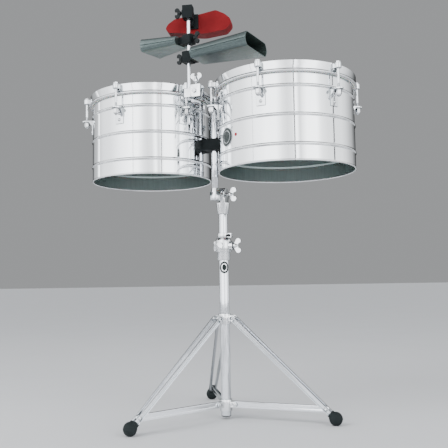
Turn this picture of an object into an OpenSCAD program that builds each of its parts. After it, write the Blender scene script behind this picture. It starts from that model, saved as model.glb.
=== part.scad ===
// Pair of tunable metal timbales on a double-braced tripod stand, with two bells and a plastic block
// on a vertical accessory rod. Millimetres, +Z up, origin on the floor at the middle of the bounding box.
// +X runs from the small drum to the large drum, -Y is the side that carries the bells.
// The modules are drawn about the stand tube's axis; framed() moves them to the origin.

/* [Drums] */
// Outside radius of the small shell
small_r = 177.8; // [150:0.1:200]
// Outside radius of the large shell
large_r = 190.5; // [165:0.1:215]
// Height of the lower rim of both shells above the floor
shell_z0 = 694; // [650:1:760]
// Depth of both shells
shell_h = 236; // [150:1:300]
// Wall thickness of the shells
shell_t = 1.2; // [0.8:0.1:3]
// Clear gap between the two shells
drum_gap = 52.8; // [48:0.2:70]
// Height of the counter hoop
hoop_h = 30; // [22:1:40]
// Tension rods on each drum
lug_count = 6; // [4:1:8]
// Turn of the lug pattern about the drum axis, degrees
lug_turn = 27; // [15:0.5:45]

/* [Stand] */
// Outside diameter of the lower tube
tube_d = 28.6; // [25:0.1:35]
// Outside diameter of the height tube
mast_d = 25.4; // [19:0.1:28]
// Radius from the tube axis to the middle of each foot
foot_reach = 319; // [260:1:380]
// Radius of the rubber feet
foot_r = 19; // [14:0.5:25]
// Height of the leg pivots on the sliding collar
collar_z = 287; // [240:1:330]
// Height of the brace pivots on the lower hub
hub_z = 42; // [30:1:60]
// Height of the top face of the height clamp
clamp_z = 522; // [450:1:600]
// Height of the tilter pivot
tilt_z = 650; // [600:1:680]

/* [Bells and block] */
// Diameter of the accessory rod
rod_d = 9.5; // [8:0.1:12.7]
// Length of the large bell
bell_l = 183; // [140:1:220]
// Length of the small bell
chime_l = 120; // [80:1:150]
// Length of the plastic block
block_l = 194; // [170:1:220]
// Turn of the large bell about the accessory rod, degrees
bell_turn = -8; // [-20:1:10]
// Turn of the small bell about the accessory rod, degrees
chime_turn = -17; // [-25:1:5]
// Turn of the plastic block about the accessory rod, degrees
block_turn = 12; // [0:1:20]

/* [Hidden] */
$fn = 64;
tube_x = -7.45;        // stand tube axis, measured from the middle of the bounding box
fit = 0.06;            // running clearance on a radius
post_x = -5;           // post axis
post_y = -46;
post_d = 19;
shell_top = shell_z0 + shell_h;
small_x = post_x - drum_gap / 2 - small_r;
large_x = post_x + drum_gap / 2 + large_r;
bead_z = [44, 119.5, 194];   // rolled beads, measured up from the lower rim
bead_out = 2.6;
bead_half = 4;
hoop_z = shell_top - 9;
rod_out = 18.5;        // tension rod axis outside the shell
tension_r = 3.5;
ear_z = hoop_z + 14;
lug_top = 883;
lug_bottom = 839;
lug_bolt_z = [850, 868];
pivot_r = 27;          // radius of the leg and brace pivots
rivet_r = 293;         // radius of the brace-to-leg rivets
foot_z = foot_r - 1;   // ball centre, leaving a small flat patch on the floor
leg_len = norm([foot_reach - pivot_r, collar_z - foot_z]);
leg_slope = atan2(collar_z - foot_z, foot_reach - pivot_r);
strap_h = 12.5;        // leg strap
strap_w = 7;
strap_t = 1.6;
strap_in = 12;         // inner face of the straps at the collar
strap_foot = 4.2;      // inner face of the straps at the foot
brace_h = 18;
brace_w = 7.8;
pin_r = 3;
rod_x = -27;           // accessory rod axis
rod_y = -172;
rod_r = rod_d / 2;
band_z = 775;          // black bracket between the shells
band_h = 32;
arm_z = 901;           // upper arm and the block on its end
arm_h = 34;
bell_z = 1002.7;       // underside of the large bell at its heel
chime_z = 1057;        // underside of the small bell at its heel
heel_x = 27.5;         // bell heels, from the accessory rod axis
block_z = 1122;
block_y = 33.3;        // near face of the plastic block, from the accessory rod axis

steel = [0.82, 0.84, 0.87];
bright = [0.92, 0.93, 0.95];
dark = [0.08, 0.09, 0.10];
bell_grey = [0.37, 0.46, 0.46];
red = [0.63, 0.20, 0.22];
film = [0.93, 0.93, 0.90];
nylon = [0.85, 0.85, 0.80];

leg_names = ["1", "2", "3"];
drum_names = ["small", "large"];
drum_parts = ["shell", "head", "hoop", "rods", "nuts", "lugs", "lug_bolts"];

// ---------- shared shapes ----------

module ring(ro, ri, h) {
    difference() {
        cylinder(r = ro, h = h);
        translate([0, 0, -1])
            cylinder(r = ri, h = h + 2);
    }
}

// cylinder along +X starting at the origin
module rod_along_x(r, h) {
    rotate([0, 90, 0])
        cylinder(r = r, h = h);
}

// cylinder along Y, centred on the origin
module pin_along_y(r, h) {
    rotate([90, 0, 0])
        translate([0, 0, -h / 2])
            cylinder(r = r, h = h);
}

// places children at leg k, with +X pointing outwards along the leg
module at_leg(k) {
    rotate([0, 0, 120 * k])
        children();
}

// places children at lug i of a drum, with +X pointing outwards from the drum axis
module at_lug(x, i) {
    translate([x, post_y, 0])
        rotate([0, 0, lug_turn + i * 360 / lug_count])
            children();
}

// wing screw along +X from the origin: shank, collar and two rounded wings
module wing_screw(shank_r, shank_l, hub_r, hub_l, span, lobe_r, thick) {
    rod_along_x(shank_r, shank_l + 1);
    translate([shank_l, 0, 0])
        rod_along_x(hub_r, hub_l);
    translate([shank_l + hub_l * 0.45, 0, 0])
        rotate([90, 0, 0])
            translate([0, 0, -thick / 2])
                linear_extrude(height = thick)
                    wing_outline(hub_r, hub_l, span, lobe_r);
}

// flat outline of the two wings, X along the screw and Y across it
module wing_outline(hub_r, hub_l, span, lobe_r) {
    for (s = [-1, 1]) {
        polygon([[0, 0], [hub_l * 0.5, 0], [hub_l * 0.55 + lobe_r * 0.9, s * (span / 2 - lobe_r)],
                 [hub_l * 0.55 - lobe_r, s * (span / 2 - lobe_r)], [0, s * hub_r]]);
        translate([hub_l * 0.55, s * (span / 2 - lobe_r)])
            circle(r = lobe_r);
    }
}

// ---------- tripod ----------

module lower_tube() {
    color(bright)
        translate([0, 0, 10])
            ring(tube_d / 2, mast_d / 2 + fit, clamp_z - 20);
}

// pair of lugs with a slot between them, for a brace end
module hub_clevis() {
    for (s = [-1, 1])
        translate([0, s * (brace_w / 2 + 0.2 + 2.5), 0])
            difference() {
                union() {
                    translate([pivot_r, 0, 0])
                        pin_along_y(8, 5);
                    translate([13, -2.5, -8])
                        cube([pivot_r - 13, 5, 16]);
                }
                translate([pivot_r, 0, 0])
                    pin_along_y(pin_r + fit, 7);
            }
}

module lower_hub() {
    color(steel)
        difference() {
            union() {
                translate([0, 0, hub_z - 19])
                    ring(17.4, tube_d / 2 + fit, 32);
                translate([0, 0, hub_z])
                    for (k = [0 : 2])
                        at_leg(k)
                            hub_clevis();
            }
            translate([0, 0, hub_z - 25])
                cylinder(r = tube_d / 2 + fit, h = 50);
        }
}

module hub_pins() {
    color(bright)
        translate([0, 0, hub_z])
            for (k = [0 : 2])
                at_leg(k)
                    translate([pivot_r, 0, 0]) {
                        pin_along_y(pin_r, 20);
                        for (s = [-1, 1])
                            translate([0, s * 10.4, 0])
                                pin_along_y(5, 2);
                    }
}

module upper_collar() {
    color(steel)
        difference() {
            union() {
                translate([0, 0, collar_z - 16])
                    cylinder(r = 18.5, h = 29);
                translate([0, 0, collar_z - 12])
                    cylinder(r = 20, h = 21);
                for (k = [0 : 2])
                    at_leg(k)
                        collar_ear();
            }
            translate([0, 0, collar_z - 30])
                cylinder(r = tube_d / 2 + fit, h = 60);
        }
}

// hollow ear between the two straps of a leg
module collar_ear() {
    difference() {
        union() {
            translate([pivot_r, 0, collar_z])
                pin_along_y(8.5, 2 * strap_in - 0.4);
            translate([10, -strap_in + 0.2, collar_z - 8.5])
                cube([pivot_r - 10, 2 * strap_in - 0.4, 17]);
        }
        translate([pivot_r, 0, collar_z])
            pin_along_y(pin_r + fit, 40);
        translate([21, -strap_in + 4.2, collar_z - 20])
            cube([20, 2 * strap_in - 8.4, 40]);
    }
}

module collar_pins() {
    color(bright)
        for (k = [0 : 2])
            at_leg(k)
                translate([pivot_r, 0, collar_z])
                    pin_along_y(pin_r, 2 * strap_in - 0.6);
}

// one leg strap: a shallow channel lying along +X from the pivot, web on the inner side
module strap() {
    run = leg_len - 8;
    difference() {
        union() {
            translate([0, 0, -strap_h / 2])
                cube([run, strap_w, strap_h]);
            translate([0, strap_w / 2, 0])
                pin_along_y(strap_h / 2, strap_w);
        }
        translate([8, strap_t, -strap_h / 2 + strap_t])
            cube([run - 16, strap_w, strap_h - 2 * strap_t]);
        translate([0, strap_w / 2 + strap_t, 0])
            pin_along_y(strap_h / 2 - strap_t, strap_w);
    }
}

// both straps of a leg with the pivot heads on their outer sides
module leg_pair() {
    splay = atan2(strap_in - strap_foot, leg_len);
    translate([pivot_r, 0, collar_z])
        rotate([0, leg_slope, 0])
            for (s = [0, 1])
                mirror([0, s, 0])
                    translate([0, strap_in, 0])
                        rotate([0, 0, -splay])
                            strap();
}

module leg(k) {
    color(steel)
        at_leg(k)
            leg_pair();
}

// rubber ball foot with a flat patch and two pockets for the strap ends
module foot(k) {
    color(dark)
        at_leg(k)
            difference() {
                translate([foot_reach, 0, foot_z])
                    sphere(r = foot_r);
                translate([foot_reach - 40, -40, -20])
                    cube([80, 80, 20]);
                foot_pockets();
            }
}

module foot_pockets() {
    gap = 0.15;
    splay = atan2(strap_in - strap_foot, leg_len);
    translate([pivot_r, 0, collar_z])
        rotate([0, leg_slope, 0])
            for (s = [0, 1])
                mirror([0, s, 0])
                    translate([0, strap_in, 0])
                        rotate([0, 0, -splay])
                            translate([leg_len - 40, -gap, -strap_h / 2 - gap])
                                cube([32 + gap, strap_w + 2 * gap, strap_h + 2 * gap]);
}

// pressed channel, open underneath, from the hub pivot to the leg rivet
module brace(k) {
    run = rivet_r - pivot_r;
    color(steel)
        at_leg(k)
            translate([pivot_r, 0, hub_z])
                difference() {
                    union() {
                        translate([0, -brace_w / 2, -brace_h / 2])
                            cube([run, brace_w, brace_h]);
                        for (x = [0, run])
                            translate([x, 0, 0])
                                pin_along_y(brace_h / 2, brace_w);
                    }
                    translate([9, -brace_w / 2 + 1.5, -brace_h / 2 - 1])
                        cube([run - 18, brace_w - 3, brace_h - 0.5]);
                    for (x = [0, run])
                        translate([x, 0, 0])
                            pin_along_y(pin_r + fit, 20);
                }
}

// rivet at the outer end of a brace; its ends stop just short of the leg straps
module rivet(k) {
    color(bright)
        at_leg(k)
            translate([rivet_r, 0, hub_z])
                pin_along_y(pin_r, brace_w + 0.8);
}

// ---------- height clamp and mast ----------

module height_clamp() {
    top_r = 23;
    color(bright)
        difference() {
            union() {
                translate([0, 0, clamp_z - 65])
                    cylinder(r = 18.5, h = 26);
                translate([-27, -8, clamp_z - 38])
                    cube([27, 16, 28]);
                translate([0, 0, clamp_z - 41])
                    cylinder(r = top_r, h = 33);
                translate([0, 0, clamp_z - 8])
                    cylinder(r1 = top_r, r2 = 19, h = 8);
                translate([0, 0, clamp_z - 24])
                    rod_along_x(13, 31);
                rotate([0, 0, -95])
                    translate([15, 0, clamp_z - 24])
                        rod_along_x(10, 12);
            }
            translate([0, 0, clamp_z - 72])
                cylinder(r = tube_d / 2 + fit, h = 66.2);
            translate([0, 0, clamp_z - 20])
                cylinder(r = mast_d / 2 + fit, h = 30);
            translate([0, 0, clamp_z - 24])
                rod_along_x(4 + fit, 40);
            translate([-30, -1.2, clamp_z - 72])
                cube([30, 2.4, 60]);
        }
}

// split nylon sleeve in the lower end of the clamp
module clamp_bush() {
    color(nylon)
        difference() {
            translate([0, 0, clamp_z - 9.9])
                ring(tube_d / 2, mast_d / 2 + fit, 4);
            translate([0, -0.8, clamp_z - 12])
                cube([30, 1.6, 10]);
        }
}

module height_wing_bolt() {
    color(bright)
        translate([tube_d / 2 + 0.1, 0, clamp_z - 24])
            wing_screw(4, 17.5, 7.5, 15, 43, 8, 6);
}

module upper_tube() {
    color(bright)
        translate([0, 0, 300])
            ring(mast_d / 2, mast_d / 2 - 1.5, 318);
}

module memory_lock() {
    color(steel)
        difference() {
            union() {
                translate([0, 0, clamp_z + 0.1])
                    cylinder(r = 17, h = 13);
                translate([10, -7, clamp_z + 0.1])
                    cube([17, 14, 13]);
            }
            translate([0, 0, clamp_z - 1])
                cylinder(r = mast_d / 2 + fit, h = 20);
            translate([8, -1, clamp_z - 1])
                cube([30, 2, 20]);
            translate([21, 0, clamp_z + 6.6])
                pin_along_y(2.5 + fit, 40);
        }
}

module memory_screw() {
    color(dark)
        translate([21, 0, clamp_z + 6.6]) {
            pin_along_y(2.5, 20);
            translate([0, -9.6, 0])
                pin_along_y(4.2, 5);
            translate([0, -14, 0])
                cube([4, 5, 4], center = true);
        }
}

// ---------- tilter ----------

module tilter_base() {
    color(bright)
        difference() {
            union() {
                translate([0, 0, tilt_z - 57])
                    cylinder(r1 = 16, r2 = 20, h = 32);
                intersection() {
                    translate([0, 0, tilt_z - 26])
                        cylinder(r = 20, h = 30);
                    translate([0.2, -20, tilt_z - 26])
                        cube([12, 40, 30]);
                }
                translate([0.2, 0, tilt_z])
                    rod_along_x(20, 12);
            }
            translate([0, 0, tilt_z - 58])
                cylinder(r = mast_d / 2 + fit, h = 26.1);
            translate([-1, 0, tilt_z])
                rod_along_x(4 + fit, 20);
            for (a = [0 : 15 : 345])
                translate([0, 0, tilt_z])
                    rotate([a, 0, 0])
                        translate([-0.4, 15.5, 0])
                            cube([1.6, 8, 1.6], center = true);
        }
}

// moving half: toothed disc, short neck and the socket that carries the post
module tilter_head() {
    color(bright)
        difference() {
            union() {
                translate([-14, 0, tilt_z])
                    rod_along_x(20, 14);
                translate([-14, post_y, tilt_z - 13])
                    cube([14, -post_y, 26]);
                translate([post_x, post_y, tilt_z - 21])
                    cylinder(r = 15.5, h = 23);
                translate([post_x, post_y, tilt_z + 2])
                    cylinder(r1 = 15.5, r2 = 11, h = 13, $fn = 6);
            }
            translate([-15, 0, tilt_z])
                rod_along_x(4 + fit, 20);
            translate([-15, 0, tilt_z])
                rod_along_x(8, 5);
            translate([post_x, post_y, tilt_z - 18])
                cylinder(r = post_d / 2 + fit, h = 60);
        }
}

module tilter_wing_bolt() {
    color(bright)
        translate([-10, 0, tilt_z]) {
            translate([-4.5, 0, 0])
                rotate([0, 90, 0])
                    cylinder(r = 7, h = 4.4, $fn = 6);
            translate([-0.2, 0, 0])
                wing_screw(4, 31, 7, 14, 42, 9, 6);
        }
}

module post() {
    color(bright)
        translate([post_x, post_y, tilt_z - 17.8])
            ring(post_d / 2, post_d / 2 - 2, arm_z + arm_h - tilt_z + 17.8);
}

// ---------- brackets between the drums ----------

// block with two hollow faces that fit the shells
module cross_bracket() {
    color(dark)
        difference() {
            translate([0, 0, band_z])
                linear_extrude(height = band_h)
                    difference() {
                        translate([post_x - drum_gap / 2 - 3, post_y - 25])
                            square([drum_gap + 6, 50]);
                        translate([small_x, post_y])
                            circle(r = small_r + 0.05, $fn = 160);
                        translate([large_x, post_y])
                            circle(r = large_r + 0.05, $fn = 160);
                        translate([post_x, post_y])
                            circle(r = post_d / 2 + fit);
                    }
            bracket_bolt_holes();
        }
}

// hex-head screws from inside each shell into the bracket
module bracket_bolts() {
    color(steel)
        for (s = [-1, 1])
            for (y = [-16, 16])
                translate([post_x + s * (drum_gap / 2 + 6), post_y + y, band_z + band_h / 2])
                    rotate([0, -90 * s, 0]) {
                        cylinder(r = 2.9, h = 14);
                        cylinder(r = 6, h = 3.4, $fn = 6);
                    }
}

module bracket_bolt_holes() {
    for (y = [-16, 16])
        translate([post_x - drum_gap, post_y + y, band_z + band_h / 2])
            rod_along_x(3, 2 * drum_gap);
}

// upper arm: ring round the post and a bar running forward between the hoops
module bell_arm() {
    color(bright)
        difference() {
            union() {
                translate([post_x, post_y, arm_z])
                    cylinder(r = 14, h = arm_h);
                translate([post_x - 6, -182, arm_z + 8])
                    cube([12, 182 + post_y, 18]);
            }
            translate([post_x, post_y, arm_z - 1])
                cylinder(r = post_d / 2 + fit, h = arm_h + 2);
            translate([post_x, -170, arm_z + 17])
                pin_along_y(2.5 + fit, 30);
        }
}

// block on the end of the arm; its left part is a split jaw round the accessory rod
module rod_block() {
    color(bright)
        difference() {
            union() {
                translate([post_x - 12, -188, arm_z])
                    cube([29, 30, arm_h]);
                translate([rod_x - 10, -184, arm_z + 2])
                    cube([21, 24, arm_h - 10]);
            }
            translate([post_x - 6.1, -182.1, arm_z + 7.9])
                cube([12.2, 30, 18.2]);
            translate([post_x, -185, arm_z + 17])
                pin_along_y(2.5 + fit, 10);
            translate([rod_x, rod_y, arm_z - 1])
                cylinder(r = rod_r + fit, h = 50);
            translate([-40, rod_y - 0.6, arm_z - 1])
                cube([12, 1.2, 50]);
            translate([post_x, -173, arm_z + 20])
                cylinder(r = 4 + fit, h = 20);
        }
}

module block_screw() {
    color(steel)
        translate([post_x, -188, arm_z + 17]) {
            translate([0, 7, 0])
                pin_along_y(2.5, 14);
            rotate([90, 0, 0])
                cylinder(r = 6.5, h = 4, $fn = 6);
        }
}

module block_wing_bolt() {
    color(bright)
        translate([post_x, -173, arm_z + 26.2])
            rotate([0, -90, 0])
                wing_screw(4, 18, 7, 17, 34, 8.5, 5);
}

module bell_rod() {
    color(bright)
        translate([rod_x, rod_y, 897])
            cylinder(r = rod_r, h = 264);
}

// ---------- bells ----------

// places children at the accessory rod, turned about it
module at_rod(z, turn) {
    translate([rod_x, rod_y, z])
        rotate([0, 0, turn])
            children();
}

// folded-sheet bell body along +X: heel at x = 0, open mouth at x = l, seams at mid height
// half widths t0, t1 of the two flat faces, heights h0, h1 at the heel and the mouth,
// w is how far the seams stand out and rise lifts the underside at the mouth
module bell_solid(l, t0, h0, t1, h1, w, rise) {
    function section(x, t, h, z) = [
        [x, -t, z], [x, t, z], [x, t + w, z + h / 2], [x, t, z + h], [x, -t, z + h], [x, -t - w, z + h / 2]];
    n = 6;
    polyhedron(
        points = concat(section(0, t0, h0, 0), section(l, t1, h1, rise)),
        faces = concat(
            [[for (i = [0 : n - 1]) i]],
            [[for (i = [n - 1 : -1 : 0]) n + i]],
            [for (i = [0 : n - 1]) [i, n + i, n + (i + 1) % n]],
            [for (i = [0 : n - 1]) [i, n + (i + 1) % n, (i + 1) % n]]));
}

module bell_body(l, t0, h0, t1, h1, w, rise, wall) {
    difference() {
        bell_solid(l, t0, h0, t1, h1, w, rise);
        translate([wall * 1.5, 0, wall])
            bell_solid(l, t0 - wall, h0 - 2 * wall, t1 - wall, h1 - 2 * wall, w, rise);
    }
}

module large_bell() {
    color(bell_grey)
        at_rod(bell_z, bell_turn)
            translate([heel_x, 0, 0])
                bell_body(bell_l, 35.4, 31.6, 56, 39, 9, -7, 1.6);
}

// black clamp: jaw on the rod with a boss for its wing screw on the -X side
module rod_clamp(h) {
    difference() {
        union() {
            translate([-15, -13, 0])
                cube([28, 26, h]);
            translate([-15, 0, h / 2])
                rotate([0, -90, 0])
                    cylinder(r = 9, h = 3);
        }
        translate([0, 0, -1])
            cylinder(r = rod_r + fit, h = h + 2);
        translate([-30, 0, h / 2])
            rod_along_x(3 + fit, 28);
    }
}

module large_bell_clamp() {
    color(dark)
        at_rod(bell_z, bell_turn) {
            rod_clamp(32);
            translate([12, -15, 2])
                cube([heel_x - 12.1, 30, 27]);
        }
}

module large_bell_screw() {
    color(dark)
        at_rod(bell_z + 16, bell_turn + 180)
            translate([rod_r + 0.1, 0, 0])
                wing_screw(3, 16, 6, 11, 30, 7, 5);
}

module small_bell() {
    color(bell_grey)
        at_rod(chime_z, chime_turn)
            mirror([1, 0, 0])
                translate([heel_x, 0, 0])
                    bell_body(chime_l, 25, 24.5, 41, 38, 5, 2, 1.6);
}

module small_bell_clamp() {
    color(dark)
        at_rod(chime_z - 1, chime_turn)
            mirror([1, 0, 0]) {
                rod_clamp(26);
                translate([12, -11, 3])
                    cube([heel_x - 12.1, 22, 20]);
            }
}

module small_bell_screw() {
    color(dark)
        at_rod(chime_z + 12, chime_turn)
            translate([rod_r + 0.1, 0, 0])
                wing_screw(3, 16, 6, 11, 34, 7, 5);
}

// flat octagonal block that grows taller towards +X, hollow, with a sound slot in the far side
module plastic_block() {
    k = block_l / 194;
    color(red)
        at_rod(block_z, block_turn)
            translate([22, block_y, 0])
                difference() {
                    translate([0, 40, 0])
                        rotate([90, 0, 0])
                            linear_extrude(height = 40)
                                polygon([[-97 * k, -2], [-88 * k, -14], [16 * k, -25], [78 * k, -17], [93 * k, 0],
                                         [92 * k, 14], [76 * k, 29], [50 * k, 42], [3 * k, 33], [-69 * k, 25],
                                         [-90 * k, 11]]);
                    translate([-64 * k, 30, -3])
                        cube([128 * k, 20, 6]);
                    translate([-66 * k, 8, -10])
                        cube([136 * k, 26, 30]);
                }
}

// jaw on the rod, a web and a flange that lies on the near face of the block
module plastic_clamp() {
    color(dark)
        at_rod(block_z + 8, block_turn) {
            rod_clamp(36);
            translate([-2, 12, -14])
                cube([12, block_y - 12.1, 44]);
            translate([-8, block_y - 5.1, -18])
                cube([30, 5, 42]);
        }
}

module plastic_screw() {
    color(dark)
        at_rod(block_z + 26, block_turn + 180)
            translate([rod_r + 0.1, 0, 0])
                wing_screw(3, 16, 6, 11, 30, 7, 5);
}

// ---------- badges ----------

// plain round badge on the large shell
module drum_badge() {
    color(dark)
        translate([large_x, post_y, 777])
            rotate([0, 0, -129.5])
                intersection() {
                    translate([0, 0, -30])
                        ring(large_r + 1.0, large_r + 0.02, 60);
                    rod_along_x(26, 220);
                }
}

// plain oval label on the lower tube
module tube_badge() {
    color(dark)
        rotate([0, 0, -64])
            intersection() {
                translate([0, 0, 410])
                    ring(tube_d / 2 + 0.5, tube_d / 2 + 0.02, 60);
                translate([0, 0, 435])
                    rotate([0, 90, 0])
                        linear_extrude(height = 30)
                            union() {
                                square([12.2, 24.8], center = true);
                                for (s = [-1, 1])
                                    translate([6.1 * s, 0])
                                        circle(r = 12.4);
                            }
            }
}

// ---------- drums ----------

function bead(r, z) = [
    [r, z - bead_half], [r + bead_out, z - 1.6], [r + bead_out, z + 1.6], [r, z + bead_half]];

function shell_outline(r) = concat(
    [[r, shell_z0]],
    [for (b = bead_z) for (p = bead(r, shell_z0 + b)) p],
    [[r, shell_top], [r - shell_t, shell_top], [r - shell_t, shell_z0]]);

module shell(x, r) {
    color(bright)
        difference() {
            translate([x, post_y, 0])
                rotate_extrude($fn = 160)
                    polygon(shell_outline(r));
            for (i = [0 : lug_count - 1])
                for (z = lug_bolt_z)
                    at_lug(x, i)
                        translate([r - 8, 0, z])
                            rod_along_x(2.6, 16);
            bracket_bolt_holes();
        }
}

// plastic film with its flesh hoop, pulled down over the top edge of the shell
module head(x, r) {
    color(film)
        translate([x, post_y, 0])
            rotate_extrude($fn = 160)
                polygon([[0, shell_top + 0.1], [r + 0.8, shell_top + 0.1], [r + 0.8, hoop_z],
                         [r + 4.3, hoop_z], [r + 4.3, shell_top + 0.7], [0, shell_top + 0.7]]);
}

// steel counter hoop: inner ledge on the flesh hoop, rolled lower edge and six drilled ears
module hoop(x, r) {
    color(bright)
        difference() {
            union() {
                translate([x, post_y, 0])
                    rotate_extrude($fn = 160)
                        polygon([[r + 4.5, hoop_z], [r + 10, hoop_z], [r + 10, hoop_z + 5],
                                 [r + 7, hoop_z + 6.5], [r + 7, hoop_z + hoop_h],
                                 [r + 4.5, hoop_z + hoop_h], [r + 4.5, shell_top + 3],
                                 [r + 1.8, shell_top + 3], [r + 1.8, shell_top + 0.8],
                                 [r + 4.5, shell_top + 0.8]]);
                for (i = [0 : lug_count - 1])
                    at_lug(x, i)
                        hoop_ear(r);
            }
            for (i = [0 : lug_count - 1])
                at_lug(x, i)
                    translate([r + rod_out, 0, hoop_z])
                        cylinder(r = tension_r + fit, h = 40, $fn = 32);
        }
}

module hoop_ear(r) {
    translate([r + 5.5, -9, ear_z])
        cube([rod_out - 5.5, 18, 13]);
    translate([r + rod_out, 0, ear_z])
        cylinder(r = 9, h = 13, $fn = 32);
}

// tension rods with domed hex heads
module rods(x, r) {
    color(bright)
        for (i = [0 : lug_count - 1])
            at_lug(x, i)
                translate([r + rod_out, 0, 0]) {
                    translate([0, 0, 860])
                        cylinder(r = tension_r, h = ear_z + 13 - 860, $fn = 32);
                    translate([0, 0, ear_z + 13])
                        cylinder(r = 7, h = 6, $fn = 6);
                }
}

module nuts(x, r) {
    color(steel)
        for (i = [0 : lug_count - 1])
            at_lug(x, i)
                translate([r + rod_out, 0, lug_top - 4.1 - 16])
                    difference() {
                        cylinder(r = 8, h = 16, $fn = 6);
                        translate([0, 0, -1])
                            cylinder(r = tension_r + 0.05, h = 20, $fn = 32);
                    }
}

// L-shaped brackets: curved plate on the shell and a drilled tab
module lugs(x, r) {
    half = 12.5 / r * 180 / PI;
    color(bright)
        for (i = [0 : lug_count - 1])
            at_lug(x, i)
                difference() {
                    union() {
                        rotate([0, 0, -half])
                            rotate_extrude(angle = 2 * half)
                                translate([r + 0.05, lug_bottom])
                                    square([2.6, lug_top - lug_bottom]);
                        translate([r + 1, -12.4, lug_top - 4])
                            cube([23, 24.8, 4]);
                        translate([r + 24, 0, lug_top - 4])
                            cylinder(r = 8.5, h = 4, $fn = 32);
                    }
                    translate([r + rod_out, 0, lug_top - 10])
                        cylinder(r = tension_r + fit, h = 20, $fn = 32);
                    for (z = lug_bolt_z)
                        translate([r - 4, 0, z])
                            rod_along_x(2.6, 12);
                }
}

module lug_bolts(x, r) {
    color(steel)
        for (i = [0 : lug_count - 1])
            at_lug(x, i)
                for (z = lug_bolt_z)
                    translate([r - 5, 0, z]) {
                        rod_along_x(2.5, 8);
                        translate([7.7, 0, 0])
                            rod_along_x(4.5, 2.2);
                    }
}

// ---------- nodes ----------

module framed() {
    translate([tube_x, 0, 0])
        children();
}

framed() lower_tube();
framed() lower_hub();
framed() hub_pins();
framed() upper_collar();
framed() collar_pins();
framed() leg(0);  // leg_1
framed() leg(1);  // leg_2
framed() leg(2);  // leg_3
framed() foot(0);  // foot_1
framed() foot(1);  // foot_2
framed() foot(2);  // foot_3
framed() brace(0);  // brace_1
framed() brace(1);  // brace_2
framed() brace(2);  // brace_3
framed() rivet(0);  // rivet_1
framed() rivet(1);  // rivet_2
framed() rivet(2);  // rivet_3
framed() height_clamp();
framed() clamp_bush();
framed() height_wing_bolt();
framed() upper_tube();
framed() memory_lock();
framed() memory_screw();
framed() tilter_base();
framed() tilter_head();
framed() tilter_wing_bolt();
framed() post();
framed() cross_bracket();
framed() bracket_bolts();
framed() bell_arm();
framed() rod_block();
framed() block_screw();
framed() block_wing_bolt();
framed() bell_rod();
framed() large_bell();
framed() large_bell_clamp();
framed() large_bell_screw();
framed() small_bell();
framed() small_bell_clamp();
framed() small_bell_screw();
framed() plastic_block();
framed() plastic_clamp();
framed() plastic_screw();
framed() drum_badge();
framed() tube_badge();
framed() shell(small_x, small_r);  // small_shell
framed() head(small_x, small_r);  // small_head
framed() hoop(small_x, small_r);  // small_hoop
framed() rods(small_x, small_r);  // small_rods
framed() nuts(small_x, small_r);  // small_nuts
framed() lugs(small_x, small_r);  // small_lugs
framed() lug_bolts(small_x, small_r);  // small_lug_bolts
framed() shell(large_x, large_r);  // large_shell
framed() head(large_x, large_r);  // large_head
framed() hoop(large_x, large_r);  // large_hoop
framed() rods(large_x, large_r);  // large_rods
framed() nuts(large_x, large_r);  // large_nuts
framed() lugs(large_x, large_r);  // large_lugs
framed() lug_bolts(large_x, large_r);  // large_lug_bolts
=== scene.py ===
import bpy
import bmesh
from math import sin, cos, pi, radians, degrees, atan2
from mathutils import Matrix, Vector

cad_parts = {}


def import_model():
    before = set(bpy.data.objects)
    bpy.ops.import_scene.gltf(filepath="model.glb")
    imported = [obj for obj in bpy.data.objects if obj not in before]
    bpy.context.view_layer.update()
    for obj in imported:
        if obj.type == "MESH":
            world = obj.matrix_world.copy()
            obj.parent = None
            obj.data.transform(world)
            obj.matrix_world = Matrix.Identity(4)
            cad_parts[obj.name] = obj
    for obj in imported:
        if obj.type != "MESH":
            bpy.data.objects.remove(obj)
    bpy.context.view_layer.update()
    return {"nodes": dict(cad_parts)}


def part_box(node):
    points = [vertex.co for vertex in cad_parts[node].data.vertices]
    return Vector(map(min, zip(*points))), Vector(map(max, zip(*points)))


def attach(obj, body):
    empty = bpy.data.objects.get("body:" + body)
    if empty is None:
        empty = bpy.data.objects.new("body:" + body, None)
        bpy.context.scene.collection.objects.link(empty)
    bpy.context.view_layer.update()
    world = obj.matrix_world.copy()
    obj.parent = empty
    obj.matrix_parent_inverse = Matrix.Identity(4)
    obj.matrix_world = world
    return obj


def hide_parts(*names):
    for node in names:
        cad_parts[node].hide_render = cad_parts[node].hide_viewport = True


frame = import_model()
scene = bpy.context.scene
MM = 0.001                         # the frame is in metres; shapes below are in millimetres


# ---------- mesh helpers (lengths in millimetres) ----------

def at(x, y, z, turn=0.0):
    """Matrix that stands local +Z up at a point, with local +X turned about it."""
    return Matrix.Translation((x, y, z)) @ Matrix.Rotation(radians(turn), 4, "Z")


def aim(origin, direction, up=(0, 0, 1)):
    """Matrix whose +Z looks along direction and whose +X is as close to up as it can be."""
    z = Vector(direction).normalized()
    x = Vector(up) - z * Vector(up).dot(z)
    x.normalize()
    y = z.cross(x)
    m = Matrix((x, y, z)).transposed().to_4x4()
    return Matrix.Translation(origin) @ m


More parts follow.
